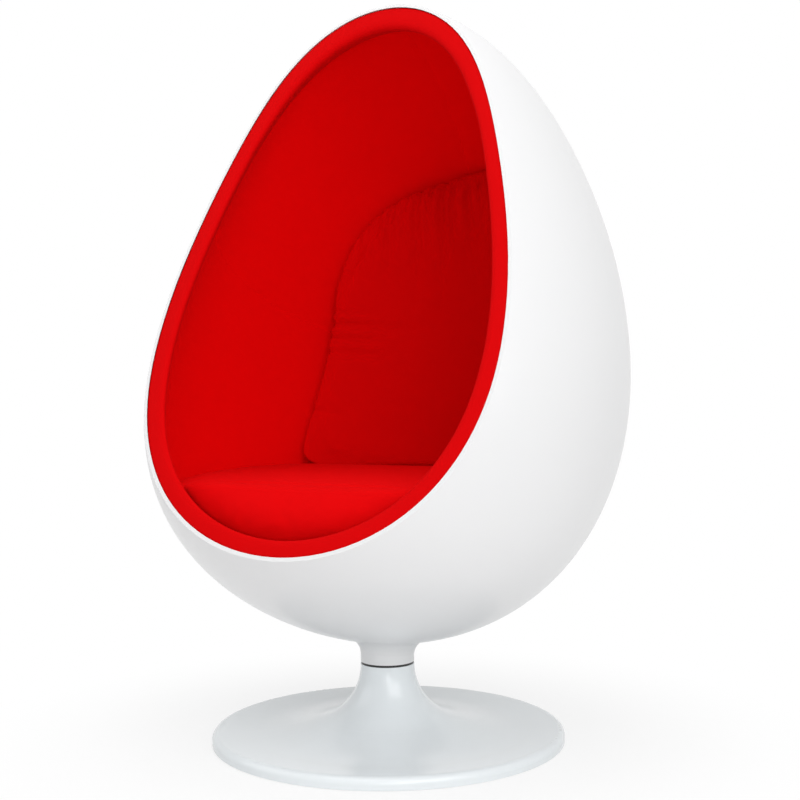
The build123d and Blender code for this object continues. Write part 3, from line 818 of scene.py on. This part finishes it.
SHELL_WHITE = (0.77, 0.77, 0.775)
BASE_WHITE = (0.81, 0.85, 0.87)
GELCOAT_ROUGHNESS = 0.33
LACQUER_ROUGHNESS = 0.22
gelcoat = gloss_material("gelcoat", SHELL_WHITE, GELCOAT_ROUGHNESS, 0.04)
lacquer = gloss_material("lacquer", BASE_WHITE, LACQUER_ROUGHNESS, 0.03)


# %% Dark and hidden parts
def plain_material(name, colour, roughness, metallic, grain):
    made, tree, shader = material(name)
    place = tree.nodes.new("ShaderNodeTexCoord").outputs["Object"]
    marks = noise(tree, place, grain, 4, 0.6)
    shader.inputs["Base Color"].default_value = (*colour, 1)
    shader.inputs["Metallic"].default_value = metallic
    tree.links.new(stretch(tree, marks, roughness * 0.8, roughness * 1.2), shader.inputs["Roughness"])
    bumped(tree, shader, marks, 0.1, 0.0003)
    return made


FINISHES = {
    "shell_white": gelcoat,
    "base_white": lacquer,
    "red_fabric": wool_lining_painted_lighter,
    "red_cushion": wool_cushion,
    "plywood": plain_material("plywood", (0.50, 0.34, 0.19), 0.6, 0, 60),
    "zinc_steel": plain_material("zinc_steel", (0.55, 0.56, 0.57), 0.35, 1, 300),
    "bearing_steel": plain_material("bearing_steel", (0.6, 0.6, 0.62), 0.15, 1, 500),
    "brass": plain_material("bronze", (0.60, 0.42, 0.18), 0.3, 1, 400),
    "felt": plain_material("felt", (0.03, 0.03, 0.035), 0.95, 0, 1200),
    "black_plastic": plain_material("black_plastic", (0.02, 0.02, 0.02), 0.4, 0, 500),
}


def finish(piece, made):
    piece.data.materials.clear()
    piece.data.materials.append(made)


for part in frame["record"]["subparts"]:
    finish(nodes[part["node"]], FINISHES[part["material_slot"]])
finish(rim, wool_roll_painted_darker)
for piece in linings.values():
    finish(piece, wool_lining_painted_lighter)
for piece in (seat, backrest):
    finish(piece, wool_cushion)

# %% [markdown]
# ## Floor and light
#
# The photograph has a white background without a horizon. The floor and the world show
# as plain white to the camera, and the floor keeps some of the chair's shadow. The light
# is soft and comes from five lamps. The strongest are a large one from the front right
# and one straight above. Weaker ones stand front left, low in front and high in front,
# and the world adds a little from all round.

# %% Floor
FLOOR_SIZE = 30.0
SHADOW_SHARE = 0.22
SHADOW_NEAR = 0.36
SHADOW_FAR = 0.80
FLOOR_DROP = 0.0005
FLOOR_WHITE = (0.90, 0.90, 0.90)


def seen_or_mirrored(tree):
    """1 for what the camera sees, straight, in a reflection or through something."""
    path = tree.nodes.new("ShaderNodeLightPath")
    both = tree.nodes.new("ShaderNodeMath")
    both.operation = "MAXIMUM"
    tree.links.new(path.outputs["Is Camera Ray"], both.inputs[0])
    tree.links.new(path.outputs["Is Glossy Ray"], both.inputs[1])
    all_three = tree.nodes.new("ShaderNodeMath")
    all_three.operation = "MAXIMUM"
    tree.links.new(both.outputs[0], all_three.inputs[0])
    tree.links.new(path.outputs["Is Transmission Ray"], all_three.inputs[1])
    return all_three.outputs[0]


def studio_floor():
    bm = bmesh.new()
    bmesh.ops.create_grid(bm, x_segments=1, y_segments=1, size=FLOOR_SIZE / 2)
    bmesh.ops.translate(bm, verts=bm.verts, vec=(0, 0, -FLOOR_DROP))
    floor = finished("floor", bm)
    made, tree, shader = material("floor_white")
    shader.inputs["Base Color"].default_value = (*FLOOR_WHITE, 1)
    shader.inputs["Roughness"].default_value = 0.9
    shader.inputs["Specular IOR Level"].default_value = 0
    glow = tree.nodes.new("ShaderNodeEmission")
    mix = tree.nodes.new("ShaderNodeMixShader")
    place = tree.nodes.new("ShaderNodeTexCoord").outputs["Object"]
    away = tree.nodes.new("ShaderNodeVectorMath")
    away.operation = "LENGTH"
    tree.links.new(place, away.inputs[0])
    plain = tree.nodes.new("ShaderNodeMapRange")
    plain.interpolation_type = "SMOOTHSTEP"
    tree.links.new(away.outputs["Value"], plain.inputs["Value"])
    plain.inputs["From Min"].default_value = SHADOW_NEAR
    plain.inputs["From Max"].default_value = SHADOW_FAR
    plain.inputs["To Min"].default_value = 1 - SHADOW_SHARE
    plain.inputs["To Max"].default_value = 1.0
    share = tree.nodes.new("ShaderNodeMath")
    share.operation = "MULTIPLY"
    tree.links.new(seen_or_mirrored(tree), share.inputs[0])
    tree.links.new(plain.outputs["Result"], share.inputs[1])
    tree.links.new(share.outputs[0], mix.inputs["Fac"])
    tree.links.new(shader.outputs[0], mix.inputs[1])
    tree.links.new(glow.outputs[0], mix.inputs[2])
    tree.links.new(mix.outputs[0], tree.nodes["Material Output"].inputs["Surface"])
    finish(floor, made)


studio_floor()

# %% World
AMBIENT = 0.38


def white_world():
    world = bpy.data.worlds.new("studio")
    bpy.context.scene.world = world
    world.use_nodes = True
    tree = world.node_tree
    light = tree.nodes["Background"]
    light.inputs["Color"].default_value = (1, 1, 1, 1)
    strength = tree.nodes.new("ShaderNodeMapRange")
    tree.links.new(seen_or_mirrored(tree), strength.inputs["Value"])
    strength.inputs["To Min"].default_value = AMBIENT
    strength.inputs["To Max"].default_value = 1.0
    tree.links.new(strength.outputs["Result"], light.inputs["Strength"])


white_world()


# %% Lamps
def softbox(name, where, target, size, watts):
    lamp = bpy.data.lights.new(name, "AREA")
    lamp.shape = "SQUARE"
    lamp.size = size
    lamp.energy = watts
    holder = bpy.data.objects.new(name, lamp)
    bpy.context.scene.collection.objects.link(holder)
    sight = Vector(target) - Vector(where)
    turned = sight.to_track_quat("-Z", "Y").to_matrix().to_4x4()
    holder.matrix_world = Matrix.Translation(where) @ turned


CHEST = (0, 0, 0.75)
softbox("key", (3.12, -2.18, 2.48), CHEST, 3.0, 78)
softbox("fill", (-3.30, -1.90, 2.48), CHEST, 3.0, 22)
softbox("low", (2.10, -3.63, 0.92), CHEST, 1.4, 18)
softbox("high", (0.0, -2.10, 4.34), CHEST, 3.0, 24)
softbox("top", (0.0, -0.15, 4.90), CHEST, 3.0, 72)

view = bpy.context.scene.view_settings
view.view_transform = "Standard"

# %% [markdown]
# ## The camera
#
# The camera's place was worked out beforehand from the outlines of the chair in the
# photograph. It stands about 29 degrees round to the right, a little below the middle
# of the pod, and is tilted by less than a degree.

# %% Camera
CAMERA_AZIMUTH = radians(29.306)
CAMERA_DISTANCE = 2.32409
CAMERA_HEIGHT = 0.637418
CAMERA_PITCH = radians(0.331)
CAMERA_ROLL = radians(-0.732)
CAMERA_LENS = 59.05
CAMERA_SENSOR = 36
CAMERA_SHIFT = (0.0200, -0.0190)


def photograph_camera():
    back = Vector((sin(CAMERA_AZIMUTH), -cos(CAMERA_AZIMUTH), 0))
    right = Vector((cos(CAMERA_AZIMUTH), sin(CAMERA_AZIMUTH), 0))
    up = Vector((0, 0, 1))
    sight = -back * cos(CAMERA_PITCH) - up * sin(CAMERA_PITCH)
    above = up * cos(CAMERA_PITCH) - back * sin(CAMERA_PITCH)
    x_axis = right * cos(CAMERA_ROLL) + above * sin(CAMERA_ROLL)
    y_axis = above * cos(CAMERA_ROLL) - right * sin(CAMERA_ROLL)
    camera = bpy.data.objects.new("camera", bpy.data.cameras.new("camera"))
    bpy.context.scene.collection.objects.link(camera)
    turned = Matrix((x_axis, y_axis, -sight)).transposed().to_4x4()
    turned.translation = back * CAMERA_DISTANCE + up * CAMERA_HEIGHT
    camera.matrix_world = turned
    camera.data.lens = CAMERA_LENS
    camera.data.sensor_width = CAMERA_SENSOR
    camera.data.shift_x, camera.data.shift_y = CAMERA_SHIFT
    return camera


bpy.context.scene.camera = photograph_camera()
print("camera at", bpy.context.scene.camera.matrix_world.translation)
